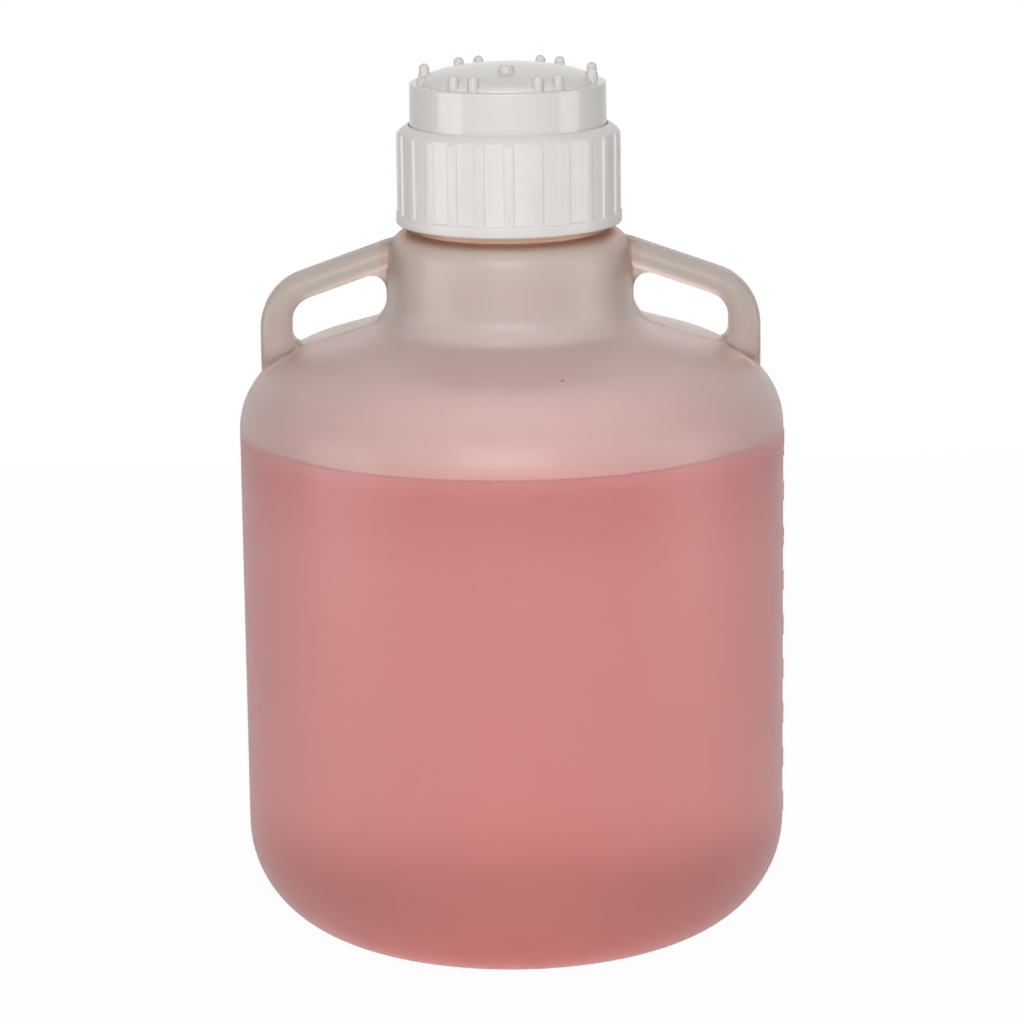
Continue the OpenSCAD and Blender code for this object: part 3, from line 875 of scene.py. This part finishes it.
def buildRing():
    underZ = ring["topZ"] - ring["topThick"]
    section = roundedLoop(
        [(boreRadius, ring["footZ"]), (ring["bandRadius"], ring["footZ"]), (ring["bandRadius"], bandTop),
         (ringWallRadius, bandTop), (ringWallRadius, wallTop), (openingRadius, ring["topZ"]),
         (openingRadius, underZ), (boreRadius, underZ)],
        ring["cornerRounds"], ring["cornerSteps"])
    collar = lathe("screwRingBody", section + section[:1], steps=ring["steps"])
    rib = cutPlate("gripRib", [
        (ringWallRadius - ring["ribSink"], bandTop - ring["ribSink"]),
        (ringWallRadius + ring["ribOut"], bandTop - ring["ribSink"]),
        (ringWallRadius + ring["ribOut"], wallTop - ring["ribSlope"]),
        (ringWallRadius - ring["ribSink"] / 2, wallTop + ring["ribSink"] / 4)], ring["ribWidth"])
    roundEdges(rib, ring["ribRound"], segments=3, angle=40)
    ribs = []
    for index in range(ring["ribCount"]):
        twin = copyPiece(rib, f"gripRib{index}")
        twin.rotation_euler.z = math.pi / 2 + 2 * math.pi * index / ring["ribCount"]
        applyPlace(twin)
        ribs.append(twin)
    bpy.data.objects.remove(rib)
    combine(collar, joinPieces(ribs, "gripRibs"), "UNION")
    ringStart = threadStart - (thread["rootWidth"] + thread["crestWidth"]) / 2 - ring["threadPlay"]
    crestRadius = bottle["finishRadius"] + ring["crestGap"]
    ridge = threadRidge("ringThread", boreRadius, crestRadius, ringStart, thread)
    combine(collar, ridge, "UNION")
    return collar


collar = buildRing()
shade(collar, angle=35)
dress(collar, "ring", ringPlastic)
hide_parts("screw_ring")
print("screw ring made:", len(collar.data.polygons), "faces")

# the closure insert

rimZ = ring["topZ"] + closure["turretHeight"]
rimRadius = turretRadius - closure["draft"]
domeRadius = rimRadius - closure["rimWidth"]


def domeZ(radius):
    return rimZ + closure["domeHeight"] * math.sqrt(max(0, 1 - (radius / domeRadius) ** 2))


def buildPin(name, radius, topZ, headRound, fromAxis, angle):
    # a pin with a rounded head and a flared foot, turned at the axis and then moved out to its place
    footZ = domeZ(fromAxis + radius) - closure["sink"]
    seatZ = domeZ(fromAxis)
    flare = closure["spigotFlare"]
    outline = [(0, footZ), (radius + flare, footZ), (radius + flare, seatZ + flare)]
    if topZ - seatZ > closure["shortPin"]:
        outline.append((radius, seatZ + 3 * flare))
    headMiddle = (radius - headRound, topZ - headRound)
    outline += arcPoints(headMiddle, (headRound, headRound), 0, 90, closure["headSteps"])
    if headRound < radius:
        outline.append((0, topZ))
    pin = lathe(name, outline, steps=closure["pinSteps"])
    pin.location.x = fromAxis
    applyPlace(pin)
    pin.rotation_euler.z = math.radians(angle + closure["turn"])
    applyPlace(pin)
    return pin


def buildInsert():
    skirtRadius = mouthRadius - closure["skirtPlay"]
    skirtInner = skirtRadius - closure["skirtWall"]
    skirtZ = insertLow.z
    flangeZ = sealHigh.z
    flangeTop = flangeZ + closure["flangeThick"]
    rimRound = closure["rimRound"]
    rimMiddle = (rimRadius - rimRound, rimZ - rimRound)
    wall = closure["wall"]
    domeRise = closure["domeHeight"]
    section = [(skirtInner, skirtZ), (skirtRadius - closure["tipWidth"], skirtZ),
               (skirtRadius, skirtZ + closure["tipHeight"]), (skirtRadius, flangeZ),
               (closure["flangeRadius"], flangeZ), (closure["flangeRadius"], flangeTop),
               (turretRadius, flangeTop)]
    section += arcPoints(rimMiddle, (rimRound, rimRound), 0, 90, closure["rimSteps"])
    section += arcPoints((0, rimZ), (domeRadius, domeRise), 0, 90, closure["domeSteps"])
    section += arcPoints((0, rimZ - wall), (domeRadius - wall, domeRise), 90, 0, closure["innerSteps"])
    section += [(rimRadius - wall, rimZ - wall), (turretRadius - wall, flangeTop), (skirtInner, flangeZ),
                (skirtInner, skirtZ)]
    cap = lathe("insertBody", section, steps=closure["steps"])
    spigotFromAxis = rimRadius - closure["spigotInset"]
    radius = closure["spigotRadius"]
    pins = []
    for index, angle in enumerate(closure["spigotAngles"]):
        tipZ = rimZ + closure["spigotHeight"]
        pins.append(buildPin(f"spigot{index}", radius, tipZ, radius, spigotFromAxis, angle))
    stubZ = domeZ(spigotFromAxis) + closure["stubHeight"]
    stubRound = radius * closure["stubRound"]
    pins.append(buildPin("spigotStub", radius, stubZ, stubRound, spigotFromAxis, closure["stubAngle"]))
    bossZ = rimZ + closure["bossHeight"]
    bossRound = closure["bossRadius"] * closure["bossRound"]
    pins.append(buildPin("boss", closure["bossRadius"], bossZ, bossRound, closure["bossFromAxis"], -90))
    topPins = joinPieces(pins, "topPins")
    coat(cap, insertPlastic)
    coat(topPins, pinPlastic)
    combine(cap, topPins, "UNION")
    return cap


cap = buildInsert()
shade(cap, angle=35)
dress(cap, "closure")
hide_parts("closure_insert")
print("insert made:", len(cap.data.polygons), "faces")

# the seal between lip and flange

seal = {"overhang": 0.0003, "round": 0.0004, "roundSteps": 3, "steps": 128}
sealInner = mouthRadius - seal["overhang"]
sealCorners = [(sealInner, sealLow.z), (sealHigh.x, sealLow.z), (sealHigh.x, sealHigh.z),
               (sealInner, sealHigh.z)]
sealSection = roundedLoop(sealCorners, [seal["round"]] * 4, seal["roundSteps"])
washer = lathe("sealRing", sealSection + sealSection[:1], steps=seal["steps"])
shade(washer, angle=35)
dress(washer, "closure", sealRubber)
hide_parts("gasket")
print("seal made")

# floor, light and camera

stage = {"floorSize": 2.0, "floorDrop": 0.0002, "floorColour": (0.95, 0.95, 0.95), "floorRoughness": 0.9,
         "whiteShare": 0.97, "world": 0.29}
view = {"distance": 1.9242, "height": 0.64156, "side": -0.00034, "tilt": 13.0967, "roll": -0.691,
        "lens": 150.0, "sensor": 36, "farEnd": 60}
# a card shows in gloss alone, and the back lamp in everything but gloss
lamps = {
    "frontLamp": {"place": (-0.15, -2.4, 1.1), "aim": (0, 0, 0.2), "size": 1.6, "tall": 1.2, "power": 38,
                  "card": False},
    "backLamp": {"place": (0.2, 1.8, 1.2), "aim": (0, 0, 0.25), "size": 1.6, "tall": 1.2, "power": 11,
                 "card": False, "gloss": False},
    "leftCard": {"place": (-1.12, -0.4, 0.12), "aim": (0, 0, 0.15), "size": 0.7, "tall": 1.1, "power": 8.5,
                 "card": True},
    "rightCard": {"place": (1.13, -0.3, 0.15), "aim": (0, 0, 0.15), "size": 0.55, "tall": 1.1, "power": 5.5,
                  "card": True},
    "topLamp": {"place": (0, -0.3, 1.9), "aim": (0, 0, 0.3), "size": 0.9, "tall": 0.9, "power": 3,
                "card": False},
}


def whiteForBackground(tree, shader, share):
    # camera, glossy and transmission rays see white in place of the shader, as far as share says
    path = tree.nodes.new("ShaderNodeLightPath")
    seen = mathNode(tree, "MAXIMUM", path.outputs["Is Camera Ray"], path.outputs["Is Glossy Ray"])
    seen = mathNode(tree, "MAXIMUM", seen, path.outputs["Is Transmission Ray"])
    white = tree.nodes.new("ShaderNodeBackground" if shader.bl_idname == "ShaderNodeBackground"
                           else "ShaderNodeEmission")
    setInputs(white, {"Color": pureWhite, "Strength": 1})
    mix = tree.nodes.new("ShaderNodeMixShader")
    wire(tree, mathNode(tree, "MULTIPLY", seen, share), mix.inputs[0])
    wire(tree, shader.outputs[0], mix.inputs[1])
    wire(tree, white.outputs[0], mix.inputs[2])
    return mix.outputs[0]


def buildFloor():
    clearSelection()
    bpy.ops.mesh.primitive_plane_add(size=stage["floorSize"], location=(0, 0, -stage["floorDrop"]))
    floor = bpy.context.object
    floor.name = "studioFloor"
    material, tree = newMaterial("floorWhite")
    shader = tree.nodes["Principled BSDF"]
    setInputs(shader, {"Base Color": (*stage["floorColour"], 1), "Roughness": stage["floorRoughness"]})
    white = whiteForBackground(tree, shader, stage["whiteShare"])
    wire(tree, white, tree.nodes["Material Output"].inputs["Surface"])
    floor.data.materials.append(material)


def buildWorld():
    world = bpy.data.worlds.new("studioWorld")
    bpy.context.scene.world = world
    world.use_nodes = True
    tree = world.node_tree
    sky = tree.nodes["Background"]
    setInputs(sky, {"Color": pureWhite, "Strength": stage["world"]})
    wire(tree, whiteForBackground(tree, sky, 1.0), tree.nodes["World Output"].inputs["Surface"])


def buildLamps():
    for name, lamp in lamps.items():
        light = bpy.data.lights.new(name, "AREA")
        light.energy = lamp["power"]
        light.shape = "RECTANGLE"
        light.size = lamp["size"]
        light.size_y = lamp["tall"]
        holder = bpy.data.objects.new(name, light)
        bpy.context.collection.objects.link(holder)
        holder.visible_diffuse = not lamp["card"]
        holder.visible_transmission = not lamp["card"]
        holder.visible_camera = not lamp["card"]
        holder.visible_glossy = lamp.get("gloss", True)
        aim = (Vector(lamp["aim"]) - Vector(lamp["place"])).to_track_quat("-Z", "Y")
        holder.matrix_world = Matrix.Translation(lamp["place"]) @ aim.to_matrix().to_4x4()


def buildCamera():
    lens = bpy.data.cameras.new("studioCamera")
    lens.lens = view["lens"]
    lens.sensor_width = view["sensor"]
    lens.clip_end = view["farEnd"]
    camera = bpy.data.objects.new("studioCamera", lens)
    bpy.context.collection.objects.link(camera)
    tilt = Matrix.Rotation(math.radians(90 - view["tilt"]), 4, "X")
    roll = Matrix.Rotation(math.radians(view["roll"]), 4, "Z")
    camera.matrix_world = Matrix.Translation((view["side"], -view["distance"], view["height"])) @ tilt @ roll
    bpy.context.scene.camera = camera


buildFloor()
buildWorld()
buildLamps()
buildCamera()
print("studio set")
